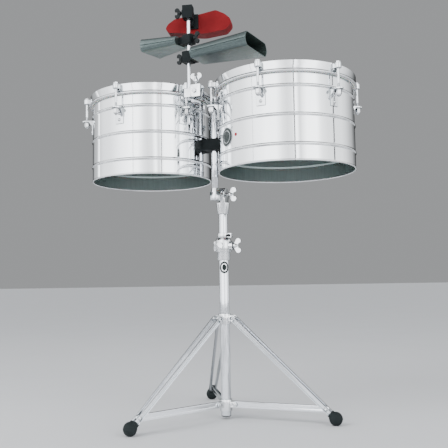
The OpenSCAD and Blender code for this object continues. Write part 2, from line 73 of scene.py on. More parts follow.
def add_lathe(bm, profile, m=Matrix.Identity(4), segs=48, mats=None, start=0.0, sweep=360.0):
    """Revolves a closed (radius, z) outline about local Z."""
    full = sweep >= 360.0
    count = segs if full else segs + 1
    rings = []
    for r, z in profile:
        if abs(r) < 1e-9:
            rings.append([bm.verts.new(m @ Vector((0, 0, z)))])
            continue
        ring = []
        for i in range(count):
            a = radians(start + sweep * i / segs)
            ring.append(bm.verts.new(m @ Vector((r * cos(a), r * sin(a), z))))
        rings.append(ring)
    n = len(rings)
    for k in range(n):
        a, b = rings[k], rings[(k + 1) % n]
        if len(a) == 1 and len(b) == 1:
            continue
        for i in range(segs):
            j = (i + 1) % count
            if len(a) == 1:
                f = bm.faces.new((a[0], b[j], b[i]))
            elif len(b) == 1:
                f = bm.faces.new((a[i], a[j], b[0]))
            else:
                f = bm.faces.new((a[i], a[j], b[j], b[i]))
            if mats:
                f.material_index = mats[k]
    if not full:
        bm.faces.new([r[0] for r in rings])
        bm.faces.new([r[-1] for r in reversed(rings)])


def add_prism(bm, outline, z0, z1, m=Matrix.Identity(4), mat=0):
    """Extrudes a flat outline along local Z."""
    low = [bm.verts.new(m @ Vector((x, y, z0))) for x, y in outline]
    high = [bm.verts.new(m @ Vector((x, y, z1))) for x, y in outline]
    n = len(outline)
    faces = [bm.faces.new(list(reversed(low))), bm.faces.new(high)]
    for i in range(n):
        j = (i + 1) % n
        faces.append(bm.faces.new((low[i], low[j], high[j], high[i])))
    for f in faces:
        f.material_index = mat


def add_box(bm, lo, hi, m=Matrix.Identity(4), mat=0):
    """Box between two corners."""
    outline = [(lo[0], lo[1]), (hi[0], lo[1]), (hi[0], hi[1]), (lo[0], hi[1])]
    add_prism(bm, outline, lo[2], hi[2], m, mat)


def hexagon(across_flats, turn=0.0):
    """Flat hexagon outline."""
    r = across_flats / 3 ** 0.5
    return [(r * cos(radians(60 * i + turn)), r * sin(radians(60 * i + turn))) for i in range(6)]


def arc(cx, cy, r, a0, a1, n):
    """Points of an arc between two angles in degrees."""
    turns = [radians(a0 + (a1 - a0) * i / n) for i in range(n + 1)]
    return [(cx + r * cos(t), cy + r * sin(t)) for t in turns]


def rounded(points, radius, steps=4):
    """Flat outline with its corners rounded off."""
    out = []
    n = len(points)
    for i in range(n):
        p, a, b = Vector(points[i]), Vector(points[i - 1]), Vector(points[(i + 1) % n])
        da, db = (a - p), (b - p)
        cut = min(radius, da.length * 0.45, db.length * 0.45)
        s, e = p + da.normalized() * cut, p + db.normalized() * cut
        for k in range(steps + 1):
            t = k / steps
            q = s * (1 - t) ** 2 + p * 2 * t * (1 - t) + e * t * t
            out.append((q.x, q.y))
    return out


def finish_mesh(name, bm, body, mats, replaces=(), bevel=0.0, steps=2, angle=30, sharp=38):
    """Turns a millimetre bmesh into a piece that rides on a body."""
    bmesh.ops.remove_doubles(bm, verts=bm.verts, dist=1e-4)
    bmesh.ops.recalc_face_normals(bm, faces=bm.faces)
    bmesh.ops.scale(bm, vec=(MM, MM, MM), verts=bm.verts)
    me = bpy.data.meshes.new(name)
    bm.to_mesh(me)
    bm.free()
    for m in mats:
        me.materials.append(m)
    for p in me.polygons:
        p.use_smooth = True
    me.set_sharp_from_angle(angle=radians(sharp))
    ob = bpy.data.objects.new(name, me)
    scene.collection.objects.link(ob)
    if bevel:
        mod = ob.modifiers.new("edges", "BEVEL")
        mod.width = bevel * MM
        mod.segments = steps
        mod.limit_method = "ANGLE"
        mod.angle_limit = radians(angle)
        mod.harden_normals = True
    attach(ob, body)
    if replaces:
        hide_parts(*replaces)
    return ob


# ---------- materials ----------

class Nodes:
    """Small wrapper that keeps shader graphs short."""

    def __init__(self, name):
        self.mat = bpy.data.materials.new(name)
        self.mat.use_nodes = True
        self.nt = self.mat.node_tree
        self.bsdf = self.nt.nodes["Principled BSDF"]
        self.coords = self.nt.nodes.new("ShaderNodeTexCoord").outputs["Object"]

    def add(self, kind, inputs=None, **props):
        """New node with its inputs linked or set, by name or number, and its properties set."""
        n = self.nt.nodes.new(kind)
        for k, v in props.items():
            setattr(n, k, v)
        for k, v in (inputs or {}).items():
            self.put(n.inputs[k], v)
        return n

    def put(self, socket, v):
        """Links a socket, or sets its value."""
        if isinstance(v, bpy.types.NodeSocket):
            self.nt.links.new(v, socket)
        else:
            socket.default_value = v

    def noise(self, scale, detail=4, rough=0.55, stretch=(1, 1, 1)):
        """Noise in object space, about scale features a metre, times stretch along each axis."""
        mp = self.add("ShaderNodeMapping", {"Vector": self.coords, "Scale": stretch})
        n = self.add("ShaderNodeTexNoise", {"Vector": mp.outputs[0], "Scale": scale, "Detail": detail,
                                            "Roughness": rough})
        return n.outputs["Fac"]

    def ramp(self, fac, low, high, a=0.3, b=0.7):
        """Low to high as fac goes from a to b."""
        n = self.add("ShaderNodeMapRange", {"Value": fac, "From Min": a, "From Max": b, "To Min": low,
                                            "To Max": high})
        return n.outputs["Result"]

    def mix(self, fac, a, b, mode="MIX"):
        """Blend of two colours."""
        n = self.add("ShaderNodeMix", data_type="RGBA", blend_type=mode)
        self.put(n.inputs["Factor"], fac)
        self.put(n.inputs[6], a)
        self.put(n.inputs[7], b)
        return n.outputs[2]

    def bump(self, height, strength, distance):
        """Normal disturbed by a height."""
        inputs = {"Height": height, "Strength": strength, "Distance": distance}
        return self.add("ShaderNodeBump", inputs).outputs[0]

    def paint_crease_shade(self, colour, reach=0.006):
        """Darkens a colour where another surface comes close: painted shade in creases and at contact edges.
        """
        open_sky = self.add("ShaderNodeAmbientOcclusion", {"Distance": reach}, samples=6).outputs["AO"]
        dark = self.mix(1.0, colour, CREASE_SHADE_TINT, "MULTIPLY")
        return self.mix(self.ramp(open_sky, CREASE_SHADE_DEPTH, 0.0, 0.25, 0.8), colour, dark)

    def set(self, **values):
        """Sets inputs of the main shader, with _ for a space in their names, and gives the material."""
        for k, v in values.items():
            self.put(self.bsdf.inputs[k.replace("_", " ")], v)
        return self.mat


def rgba(r, g, b):
    """Colour with full alpha."""
    return (r, g, b, 1.0)


def dimmed(colour, keep):
    """Colour made darker, as rgba."""
    return rgba(*[c * keep for c in colour])


# painted shade: colour and strength of the darkening where surfaces come close
CREASE_SHADE_TINT, CREASE_SHADE_DEPTH = rgba(0.10, 0.135, 0.135), 0.9
# painted reflection: colour that chrome turns towards where its surface faces away
RIM_REFLECTION_TINT = rgba(0.16, 0.2, 0.2)


def chrome(name, tint, rough=(0.05, 0.12), grain=0.0, smudge=9.0, rim=0.0, metallic=1.0):
    """Polished plating; rim paints a dark reflection into its colour where it turns away, as small parts show
    in front of a dark room.
    """
    n = Nodes(name)
    blotch = n.noise(smudge, 3)
    colour = n.mix(n.ramp(n.noise(smudge * 3, 4), 0.0, 1.0), rgba(*tint), dimmed(tint, 0.93))
    # painted dark reflection towards the edges, as strong as rim
    if rim:
        away = n.add("ShaderNodeLayerWeight", {"Blend": 0.5}).outputs["Facing"]
        colour = n.mix(n.ramp(away, 0.0, rim, 0.3, 0.85), colour, RIM_REFLECTION_TINT)
    # the base colour carries painted shade where other surfaces come close
    return n.set(Base_Color=n.paint_crease_shade(colour), Metallic=metallic, Roughness=n.ramp(blotch, *rough),
                 Normal=n.bump(n.noise(900, 2), 0.02 + grain, 0.0002))


def brushed(name, tint, rough, stretch, strength=0.12, streak=0.18, metallic=1.0):
    """Metal with drawn lines along the axis where stretch is smallest, and a soft cloud of darker metal."""
    n = Nodes(name)
    lines = n.noise(60, 5, 0.7, stretch)
    cloud = n.noise(7, 4)
    dark = dimmed(tint, 1 - streak)
    colour = n.mix(n.ramp(lines, 0.0, 1.0, 0.35, 0.65), rgba(*tint), dark)
    colour = n.mix(n.ramp(cloud, 0.0, 0.35), colour, dark)
    return n.set(Base_Color=colour, Metallic=metallic, Roughness=n.ramp(lines, *rough),
                 Normal=n.bump(lines, strength, 0.0003))


def coated(name, tint, rough, grain_scale, grain, wear=None, wear_at=0.72, gloss=0.2):
    """Paint, rubber or plastic with a fine grain; wear shows bare metal in specks."""
    n = Nodes(name)
    cloud = n.noise(25, 5)
    colour = n.mix(n.ramp(cloud, 0.0, 1.0), rgba(*tint), dimmed(tint, 0.75))
    if wear:
        rub = n.ramp(n.noise(160, 6, 0.75), 0.0, 1.0, wear_at, wear_at + 0.05)
        colour = n.mix(rub, colour, rgba(*wear))
    return n.set(Base_Color=colour, Roughness=n.ramp(cloud, *rough), Specular_IOR_Level=gloss,
                 Normal=n.bump(n.noise(grain_scale, 3), grain, 0.0003))


M_TUBE = chrome("tube_chrome", (0.90, 0.92, 0.96), (0.05, 0.11), rim=0.75, metallic=0.9)
M_CAST = chrome("cast_chrome", (0.88, 0.89, 0.91), (0.09, 0.2), grain=0.05, smudge=30, rim=0.8)
M_LEG = chrome("leg_chrome", (0.90, 0.92, 0.96), (0.07, 0.14), grain=0.02, smudge=14, rim=1.0, metallic=0.9)
M_FAST = chrome("fastener_chrome", (0.78, 0.79, 0.81), (0.06, 0.12), grain=0.02, smudge=60, rim=0.9)
M_CLAW = chrome("bracket_chrome", (0.80, 0.82, 0.84), (0.06, 0.12), grain=0.02, smudge=40, rim=0.85)
M_HOOP = chrome("hoop_chrome", (0.92, 0.93, 0.95), (0.05, 0.1), smudge=12, rim=0.5)
M_BELL = brushed("bell_steel", (0.145, 0.185, 0.183), (0.26, 0.42), (0.6, 9, 9), 0.12, 0.42, 0.9)
M_BELL_IN = brushed("bell_inside", (0.05, 0.075, 0.07), (0.55, 0.7), (0.2, 6, 6), 0.1, 0.3, 0.6)
M_INSIDE = brushed("shell_inside", (0.42, 0.50, 0.49), (0.30, 0.42), (3, 3, 0.2), 0.06, 0.2)
M_BLACK = coated("black_powder_coat", (0.010, 0.013, 0.014), (0.42, 0.6), 1400, 0.25,
                 wear=(0.25, 0.26, 0.27), wear_at=0.74, gloss=0.08)
M_SCREW = coated("black_screw", (0.014, 0.017, 0.018), (0.3, 0.45), 900, 0.15,
                 wear=(0.3, 0.3, 0.31), wear_at=0.70, gloss=0.12)
M_RUBBER = coated("foot_rubber", (0.014, 0.019, 0.02), (0.62, 0.82), 700, 0.35)
M_RED = coated("red_plastic", (0.20, 0.012, 0.015), (0.4, 0.52), 260, 0.08, gloss=0.08)
M_NYLON = coated("nylon", (0.75, 0.75, 0.7), (0.5, 0.6), 300, 0.1)
M_DISC = coated("badge_enamel", (0.006, 0.014, 0.013), (0.2, 0.3), 200, 0.03)
M_SPOT = coated("red_enamel", (0.35, 0.02, 0.03), (0.2, 0.3), 200, 0.03)


def shell_steel():
    """Mirror-polished stainless steel with faint polishing lines that run round the shell."""
    n = Nodes("shell_steel")
    lines = n.noise(30, 4, 0.6, stretch=(0.4, 0.4, 26))
    smear = n.noise(5, 3)
    colour = n.mix(n.ramp(smear, 0.0, 1.0), rgba(0.93, 0.94, 0.95), rgba(0.87, 0.89, 0.91))
    # the base colour carries painted shade where other surfaces come close, within 12 mm
    return n.set(Base_Color=n.paint_crease_shade(colour, 0.012), Metallic=1.0, Roughness=n.ramp(smear, 0.035, 0.075),
                 Normal=n.bump(lines, 0.018, 0.0004))


def drum_film():
    """Coated film: matt, faintly speckled, a little greyer in soft random patches."""
    n = Nodes("drum_film")
    speck = n.noise(420, 4, 0.7)
    cloud = n.noise(9, 5)
    colour = n.mix(n.ramp(cloud, 0.0, 1.0), rgba(0.86, 0.86, 0.82), rgba(0.74, 0.75, 0.72))
    return n.set(Base_Color=colour, Roughness=n.ramp(speck, 0.45, 0.65), Normal=n.bump(speck, 0.2, 0.0002),
                 Subsurface_Weight=0.15, Subsurface_Scale=0.002)


M_SHELL = shell_steel()
M_FILM = drum_film()

# ---------- CAD nodes that keep their own shape ----------

KEPT = {
    M_TUBE: ["lower_tube", "upper_tube", "post", "bell_rod"],
    M_CAST: ["lower_hub", "upper_collar", "height_clamp", "memory_lock", "tilter_base", "tilter_head",
             "bell_arm", "rod_block"],
    M_LEG: ["leg_1", "leg_2", "leg_3", "brace_1", "brace_2", "brace_3"],
    M_FAST: ["hub_pins", "collar_pins", "rivet_1", "rivet_2", "rivet_3", "bracket_bolts"],
    M_BLACK: ["cross_bracket", "large_bell_clamp", "small_bell_clamp", "plastic_clamp"],
    M_NYLON: ["clamp_bush"],
    M_SCREW: ["memory_screw"],
}
WELD_M = 2e-6                      # vertices closer than this are one
FLAT_DEG, EDGE_DEG = 1.0, 35       # facets flatter than the first merge, edges past the second are bevelled
EDGE_MM = 0.3                      # bevel of a node that EDGE does not name
EDGE = {"cross_bracket": 1.5, "large_bell_clamp": 1.6, "small_bell_clamp": 1.6, "plastic_clamp": 1.6,
        "rod_block": 1.6, "bell_arm": 1.2, "height_clamp": 1.2, "tilter_base": 0.5, "tilter_head": 1.0,
        "upper_collar": 0.9, "lower_hub": 0.9, "memory_lock": 0.8}   # bevel widths, mm


def dress_cad(node, mat):
    """Own material, merged facets and softened edges on a CAD node."""
    ob = frame["nodes"][node]
    ob.data.materials.clear()
    ob.data.materials.append(mat)
    for p in ob.data.polygons:
        p.use_smooth = True
    weld = ob.modifiers.new("weld", "WELD")
    weld.merge_threshold = WELD_M
    flat = ob.modifiers.new("flatten", "DECIMATE")
    flat.decimate_type = "DISSOLVE"
    flat.angle_limit = radians(FLAT_DEG)
    mod = ob.modifiers.new("edges", "BEVEL")
    mod.width = EDGE.get(node, EDGE_MM) * MM
    mod.segments = 3
    mod.limit_method = "ANGLE"
    mod.angle_limit = radians(EDGE_DEG)
    mod.use_clamp_overlap = True
    mod.harden_normals = True


for mat, nodes in KEPT.items():
    for node in nodes:
        dress_cad(node, mat)


# ---------- sizes read from the frame ----------

def centre(node):
    """Middle of a node's box."""
    lo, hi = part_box(node)
    return (lo + hi) * 0.5 / MM


def size(node):
    """Sides of a node's box."""
    lo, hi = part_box(node)
    return (hi - lo) / MM


# ---------- drums ----------

def between(a, b):
    """Signed angle from b to a, less than half a turn."""
    return (a - b + pi) % (2 * pi) - pi


def lug_angles(node):
    """Angles of the pieces of a ring-shaped node about its drum axis, from its mesh."""
    c = centre(node.split("_")[0] + "_head")
    turns = [atan2(v.co.y / MM - c.y, v.co.x / MM - c.x) for v in frame["nodes"][node].data.vertices]
    found = []
    for a in turns:
        if not any(abs(between(a, b)) < radians(15) for b in found):
            found.append(a)
    out = []
    for b in found:
        near = [between(a, b) for a in turns if abs(between(a, b)) < radians(20)]
        out.append(b + (min(near) + max(near)) / 2)
    return sorted(out)


HEAD_LAP = 4.3                     # how far a drumhead stands out past its shell
BEAD_Z = (44.0, 119.5, 194.0)      # heights of the rolled beads above the shell's lower edge
BEAD_OUT, BEAD_HALF = 2.6, 5.2     # how far a bead stands out, and half its height
WALL = 1.2                         # shell sheet
HEM = 2.2                          # radius of the rolled lower edge
HOOP_LOW = 9                       # from the shell's top edge down to the hoop's lower edge
ROD_OUT = 18.5                     # tension rod axis, out from the shell
EAR_LOW, EAR_HIGH = 5.0, 18.0      # claws, above the shell's top edge
LUG_HALF = 12.4                    # half width of a lug's back plate
LUG_SCREW_Z = (850.0, 868.0)       # heights above the floor of the two screws of each lug
THREAD_PITCH = 1.2


def bead_offset(z):
    """How far the shell wall stands out at a height, for its beads."""
    for b in BEAD_Z:
        u = (z - b) / BEAD_HALF
        if abs(u) < 1:
            return BEAD_OUT * (0.5 + 0.5 * cos(pi * u))
    return 0.0


def shell_profile(r, z0, height):
    """Closed outline of a shell wall with beads and hem, and a material for each of its sides."""
    zs = [4.3, 5.0, 6.5]
    for b in BEAD_Z:
        zs += [b - BEAD_HALF - 1.5]
        zs += [b + BEAD_HALF * (k / 8.0) for k in range(-8, 9)]
        zs += [b + BEAD_HALF + 1.5]
    zs += [height - 3.0, height - 0.8]
    outer = [(r + bead_offset(z), z0 + z) for z in zs]
    inner = [(r - WALL + bead_offset(z), z0 + z) for z in reversed(zs)]
    hem = arc(r - 0.9, z0 + HEM, HEM, 120, 395, 18)
    top = [(r - 0.2, z0 + height - 0.1), (r - WALL + 0.2, z0 + height - 0.1)]
    profile = hem + outer + top + inner
    mats = [0] * (len(hem) + len(outer) + 1) + [1] * len(inner) + [0]
    return profile, mats


def shell_radius(drum):
    """Outer radius of a shell, from its head."""
    return size(drum + "_head").x / 2 - HEAD_LAP


def build_drum(drum):
    """Shell, film and hoop as lathed sections, then the claws, lugs, rods and nuts round them."""
    c = centre(drum + "_head")
    r = shell_radius(drum)
    z0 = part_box(drum + "_shell")[0].z / MM
    height = size(drum + "_shell").z
    top = z0 + height
    m = at(c.x, c.y, 0)

    bm = bmesh.new()
    profile, mats = shell_profile(r, z0, height)
    add_lathe(bm, profile, m, 256, mats)
    finish_mesh(drum + "_shell_body", bm, "drums", [M_SHELL, M_INSIDE], (drum + "_shell",),
                sharp=60)

    bm = bmesh.new()
    film = [(0, top + 0.15), (r + 0.9, top + 0.15), (r + 0.9, top - 8.8)]
    film += arc(r + 2.6, top - 7.2, 1.7, 250, 360, 5) + [(r + 4.3, top - 1)]
    film += arc(r + 2.9, top - 1, 1.6, 20, 90, 4) + [(r * 0.5, top + 0.75), (0, top + 0.85)]
    add_lathe(bm, film, m, 192)
    finish_mesh(drum + "_film", bm, "drums", [M_FILM], (drum + "_head",))

    bm = bmesh.new()
    lo = top - HOOP_LOW
    hoop = [(r + 4.5, lo + 0.6), (r + 6.0, lo + 0.05)]
    hoop += arc(r + 6.9, lo + 3.1, 3.1, 270, 400, 9)
    hoop += [(r + 7.4, lo + 7.4), (r + 7.0, lo + 9.0), (r + 7.0, lo + 28.4)]
    hoop += arc(r + 5.8, lo + 28.75, 1.25, 0, 180, 8)
    hoop += [(r + 4.5, top + 3.4), (r + 4.2, top + 3.0), (r + 2.2, top + 3.0), (r + 1.9, top + 2.6),
             (r + 1.9, top + 1.2), (r + 2.2, top + 0.85), (r + 4.5, top + 0.85)]
    add_lathe(bm, hoop, m, 256)
    finish_mesh(drum + "_counter_hoop", bm, "drums", [M_HOOP], (drum + "_hoop",), sharp=50)

    angles = lug_angles(drum + "_nuts")
    build_ears(drum, c, r, top, angles)
    build_lugs(drum, c, r, angles)
    build_rods(drum, c, r, angles)


def build_ears(drum, c, r, top, angles):
    """Welded claws on the hoop: a boxed strip with a rounded nose round each tension rod."""
    bm = bmesh.new()
    nose = arc(ROD_OUT, 0, 9.0, -80, 80, 10)
    outline = [(6.2, -8.8)] + nose + [(6.2, 8.8)]
    for a in angles:
        m = at(c.x, c.y, 0, degrees(a)) @ Matrix.Translation((r, 0, 0))
        add_prism(bm, outline, top + EAR_LOW, top + EAR_HIGH, m)
        add_box(bm, (6.4, -7.0, top + 1.0), (10.5, 7.0, top + EAR_LOW + 0.5), m)
        add_lathe(bm, [(0, top + EAR_LOW - 1.4), (6.2, top + EAR_LOW - 1.4), (6.2, top + EAR_LOW + 0.4),
                       (0, top + EAR_LOW + 0.4)], m @ Matrix.Translation((ROD_OUT, 0, 0)), 28)
    finish_mesh(drum + "_hoop_claws", bm, "drums", [M_CLAW], (), bevel=1.5, steps=3)


def build_lugs(drum, c, r, angles):
    """L brackets: curved back plate with pressed ribs, a folded corner and a shelf."""
    lo, hi = (v.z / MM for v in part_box(drum + "_lugs"))
    bm = bmesh.new()
    half = degrees(LUG_HALF / r)
    for a in angles:
        deg = degrees(a)
        flat = [(r + 0.1, lo), (r + 2.6, lo), (r + 2.6, hi - 3.2), (r + 3.4, hi - 1.2), (r + 5.0, hi),
                (r + 0.8, hi), (r + 0.1, hi - 0.8)]
        add_lathe(bm, flat, at(c.x, c.y, 0), 6, None, deg - half, 2 * half)
        m = at(c.x, c.y, 0, deg) @ Matrix.Translation((r, 0, 0))
        shelf = [(1.4, -12.3), (22, -12.3)] + arc(24, 0, 8.4, -70, 70, 10) + [(22, 12.3), (1.4, 12.3)]
        add_prism(bm, shelf, hi - 3.9, hi, m)
        for s in (-1, 1):
            rib = [(2.2, hi - 3.5), (13.0, hi - 3.5), (2.2, hi - 17.0)]
            side = Matrix.Rotation(radians(90), 4, "X")
            add_prism(bm, rib, -s * 11.6, -s * 9.8, m @ side)
    finish_mesh(drum + "_lug_brackets", bm, "drums", [M_CLAW], (drum + "_lugs",), bevel=0.6)

    bm = bmesh.new()
    for a in angles:
        out = Vector((cos(a), sin(a), 0))
        for z in LUG_SCREW_Z:
            m = aim(Vector((c.x, c.y, z)) + out * (r + 2.5), out)
            dome = [(0, 0), (4.6, 0), (4.5, 1.0)] + arc(0, -1.6, 4.7, 30, 88, 6) + [(0, 3.1)]
            add_lathe(bm, dome, m, 28)
            add_lathe(bm, [(0, -9.5), (5.4, -9.5), (5.4, -3.9), (0, -3.9)], m, 6)
    finish_mesh(drum + "_lug_screws", bm, "drums", [M_FAST], (drum + "_lug_bolts",),
                bevel=0.25)


def thread(outer, inner, z, end):
    """Side of a screw thread as (radius, z) points, crest then root, one pair each turn."""
    out = []
    while z < end:
        out += [(outer, z), (inner, z + THREAD_PITCH / 2)]
        z += THREAD_PITCH
    return out


def build_rods(drum, c, r, angles):
    """Tension rods with domed hex heads and a threaded tail, and chamfered tuning nuts."""
    lo, hi = (v.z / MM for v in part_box(drum + "_rods"))
    bm = bmesh.new()
    seat = hi - 6.0
    for k, a in enumerate(angles):
        m = at(c.x, c.y, 0, degrees(a)) @ Matrix.Translation((r + ROD_OUT, 0, 0))
        shank = [(0, lo + 0.1), (2.7, lo + 0.1), (3.3, lo + 0.9)] + thread(3.45, 3.05, lo + 1.0, lo + 34)
        shank += [(3.45, lo + 35.5), (3.45, seat), (0, seat)]
        add_lathe(bm, shank, m, 24)
        washer = [(0, seat), (8.2, seat), (8.2, seat + 1.1), (6.6, seat + 1.5), (0, seat + 1.5)]
        add_lathe(bm, washer, m, 36)
        add_prism(bm, hexagon(11.5, 17 * k), seat + 1.4, hi - 1.2, m)
        cap = [(0, hi - 1.4), (5.6, hi - 1.4), (5.2, hi - 0.7), (3.6, hi - 0.2), (0, hi)]
        add_lathe(bm, cap, m, 32)
    finish_mesh(drum + "_tension_rods", bm, "drums", [M_FAST], (drum + "_rods",),
                bevel=0.35)

    lo, hi = (v.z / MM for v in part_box(drum + "_nuts"))
    bm = bmesh.new()
    for k, a in enumerate(angles):
        m = at(c.x, c.y, 0, degrees(a)) @ Matrix.Translation((r + ROD_OUT, 0, 0))
        add_lathe(bm, [(3.5, hi - 1.6), (9.0, hi - 1.6), (9.0, hi - 0.1), (3.5, hi - 0.1)], m, 36)
        add_prism(bm, hexagon(13.6, 23 * k + 8), lo + 3.4, hi - 1.5, m)
        tail = [(3.5, lo), (5.0, lo), (6.3, lo + 1.4), (6.6, lo + 3.5), (3.5, lo + 3.5)]
        add_lathe(bm, tail, m, 32)
    finish_mesh(drum + "_tuning_nuts", bm, "drums", [M_FAST], (drum + "_nuts",),
                bevel=0.5)


for drum in ("small", "large"):
    build_drum(drum)


# ---------- wing screws ----------

def add_wing(bm, m, hub_r, hub_l, span, lobe, thick):
    """Wing head along local +Z: turned hub with two flat lobes that lie along local X."""
    hub = [(0, 0), (hub_r * 0.86, 0), (hub_r, 0.9), (hub_r, hub_l * 0.34), (hub_r * 0.86, hub_l * 0.5),
           (hub_r * 0.66, hub_l * 0.8), (hub_r * 0.5, hub_l * 0.97), (hub_r * 0.3, hub_l), (0, hub_l)]
    add_lathe(bm, hub, m, 32)
    reach = span / 2 - lobe
    side = m @ Matrix.Rotation(radians(90), 4, "X")
    for s in (-1, 1):
        outline = [(s * 0.6, hub_l * 0.12), (s * hub_r, hub_l * 0.2)]
        outline += [(s * (reach + lobe * cos(radians(t))), hub_l + lobe * sin(radians(t)))
                    for t in range(-75, 121, 15)]
        outline += [(s * hub_r * 0.8, hub_l * 1.02), (s * 0.6, hub_l * 0.98)]
        if s < 0:
            outline.reverse()
        add_prism(bm, outline, -thick / 2, thick / 2, side)


def make_wing(name, node, body, mat, start, axis, shank_r, shank_l, wing, extra=None):
    """Wing screw in place of a CAD screw. start is where its shank begins; wing is the head's hub radius,
    hub length, span, lobe radius and thickness."""
    m = aim(start, axis, (0, 0, 1) if abs(axis[2]) < 0.5 else (1, 0, 0))
    head = m @ Matrix.Translation((0, 0, shank_l))
    bm = bmesh.new()
    shank = [(0, 0.3), (shank_r * 0.75, 0.3), (shank_r * 0.97, 1.2)]
    shank += thread(shank_r * 0.98, shank_r * 0.84, 2.0, shank_l - THREAD_PITCH)
    shank += [(shank_r * 0.9, shank_l + 0.5), (0, shank_l + 0.5)]
    add_lathe(bm, shank, m, 24)
    add_wing(bm, head, *wing)
    if extra:
        extra(bm, m)
    finish_mesh(name, bm, body, [mat], (node,), bevel=0.9, steps=3)


TILT_HEX = 4.3                     # height of the hex head that ends the tilter screw


def tilt_head(bm, m):
    """Hex head in the pocket at the far end of the tilter screw."""
    add_prism(bm, hexagon(12.0), 0.1 - TILT_HEX, -0.1, m)


def screw_start(node, axis):
    """Middle of the end face where a straight CAD screw begins."""
    c, half = centre(node), size(node) / 2
    a = Vector(axis)
    return c - a * abs(half.dot(a))


ROD = centre("bell_rod")
RIM = 4.85                         # from the rod axis to the end of a clamp's screw
BELL_TURN, CHIME_TURN, BLOCK_TURN = -8, -17, 12   # accessories about the rod, degrees


def on_rod(z, turn, out=0.0):
    """Matrix at the accessory rod with local +X pointing out at an angle."""
    return at(ROD.x, ROD.y, z, turn) @ Matrix.Translation((out, 0, 0))


X, Z = (1, 0, 0), (0, 0, 1)
make_wing("height_wing", "height_wing_bolt", "height_knob", M_FAST,
          screw_start("height_wing_bolt", X), X, 4.0, 17.5, (7.4, 15, 43, 8, 6))
make_wing("tilter_wing", "tilter_wing_bolt", "tilt_knob", M_FAST,
          screw_start("tilter_wing_bolt", X) + Vector((TILT_HEX, 0, 0)), X, 4.0, 31.0, (7.0, 14, 42, 9, 6),
          tilt_head)
make_wing("block_wing", "block_wing_bolt", "block_knob", M_FAST,
          screw_start("block_wing_bolt", Z), Z, 4.0, 18, (6.9, 17, 34, 8.4, 5))
for name, node, turn, span in (("large_bell", "large_bell_screw", BELL_TURN + 180, 30),
                               ("small_bell", "small_bell_screw", CHIME_TURN, 34),
                               ("plastic", "plastic_screw", BLOCK_TURN + 180, 30)):
    m = on_rod(centre(node).z, turn, RIM)
    make_wing(name + "_wing", node, name + "_knob", M_SCREW, m.translation,
              tuple(m.col[0][:3]), 3.0, 16, (6, 11, span, 7, 5))


# ---------- bells ----------

HEEL = 27.5                        # from the rod axis to the heel of a bell


def bell_section(t, h, w):
    """One ring of a bell: two flat faces of half width t whose seams stand out by w at mid height."""
    flat = [(-t, 0), (t, 0), (t + w, h / 2), (t, h), (-t, h), (-t - w, h / 2)]
    return rounded(flat, min(7, h * 0.2))


BELL_WALL, BELL_STEPS = 1.6, 14    # sheet thickness, and rings along a bell


def build_bell(name, node, body, m, length, heel, mouth, seam, rise):
    """Folded-sheet bell along local +X: rolled mouth lip, seam flange along both sides, open mouth.
    heel and mouth are half width and height; rise is how far the lower face climbs to the mouth."""
    wall, steps = BELL_WALL, BELL_STEPS
    bm = bmesh.new()
    outer, inner = [], []
    for k in range(steps + 1):
        t = k / steps
        w, h = (heel[i] + (mouth[i] - heel[i]) * t for i in range(2))
        low = rise * t
        lip = 0.9 if k == steps else 0.0
        outer.append([m @ Vector((length * t, y, low + z)) for y, z in bell_section(w + lip, h, seam)])
        deep = length * max(t, 0.02)
        inner.append([m @ Vector((deep, y, low + wall + z))
                      for y, z in bell_section(w - wall, h - 2 * wall, seam)])
    rows = [[bm.verts.new(p) for p in ring] for ring in outer]
    back = [[bm.verts.new(p) for p in ring] for ring in inner]
    n = len(rows[0])
    for k in range(steps):
        for i in range(n):
            j = (i + 1) % n
            bm.faces.new((rows[k][i], rows[k][j], rows[k + 1][j], rows[k + 1][i]))
            f = bm.faces.new((back[k][i], back[k + 1][i], back[k + 1][j], back[k][j]))
            f.material_index = 1
    for i in range(n):
        j = (i + 1) % n
        bm.faces.new((rows[-1][i], rows[-1][j], back[-1][j], back[-1][i]))
    bm.faces.new(rows[0])
    f = bm.faces.new(list(reversed(back[0])))
    f.material_index = 1
    for s in (-1, 1):
        ends = []
        for t in (0.03, 0.99):
            w, h = (heel[i] + (mouth[i] - heel[i]) * t for i in range(2))
            ends.append(m @ Vector((length * t, s * (w + seam - 0.6), rise * t + h / 2)))
        run = aim(ends[0], ends[1] - ends[0])
        add_box(bm, (-1.2, -2.4, 0), (1.2, 2.4, (ends[1] - ends[0]).length), run)
    finish_mesh(name, bm, body, [M_BELL, M_BELL_IN], (node,), bevel=0.5, angle=50, sharp=50)


build_bell("large_bell_body", "large_bell", "large_bell_set",
           on_rod(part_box("large_bell")[0].z / MM + 7, BELL_TURN, HEEL), 183, (35.4, 31.6), (56, 39), 9, -7)
build_bell("small_bell_body", "small_bell", "small_bell_set",
           on_rod(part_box("small_bell")[0].z / MM, CHIME_TURN + 180, HEEL), 120, (25, 24.5), (41, 38), 5, 2)


# ---------- plastic block ----------

BLOCK_NEAR, BLOCK_DEEP = 33.3, 40.0    # from the rod to the near face, and the block's depth
SLOT_DEEP = 12.0                   # depth of the sound slot


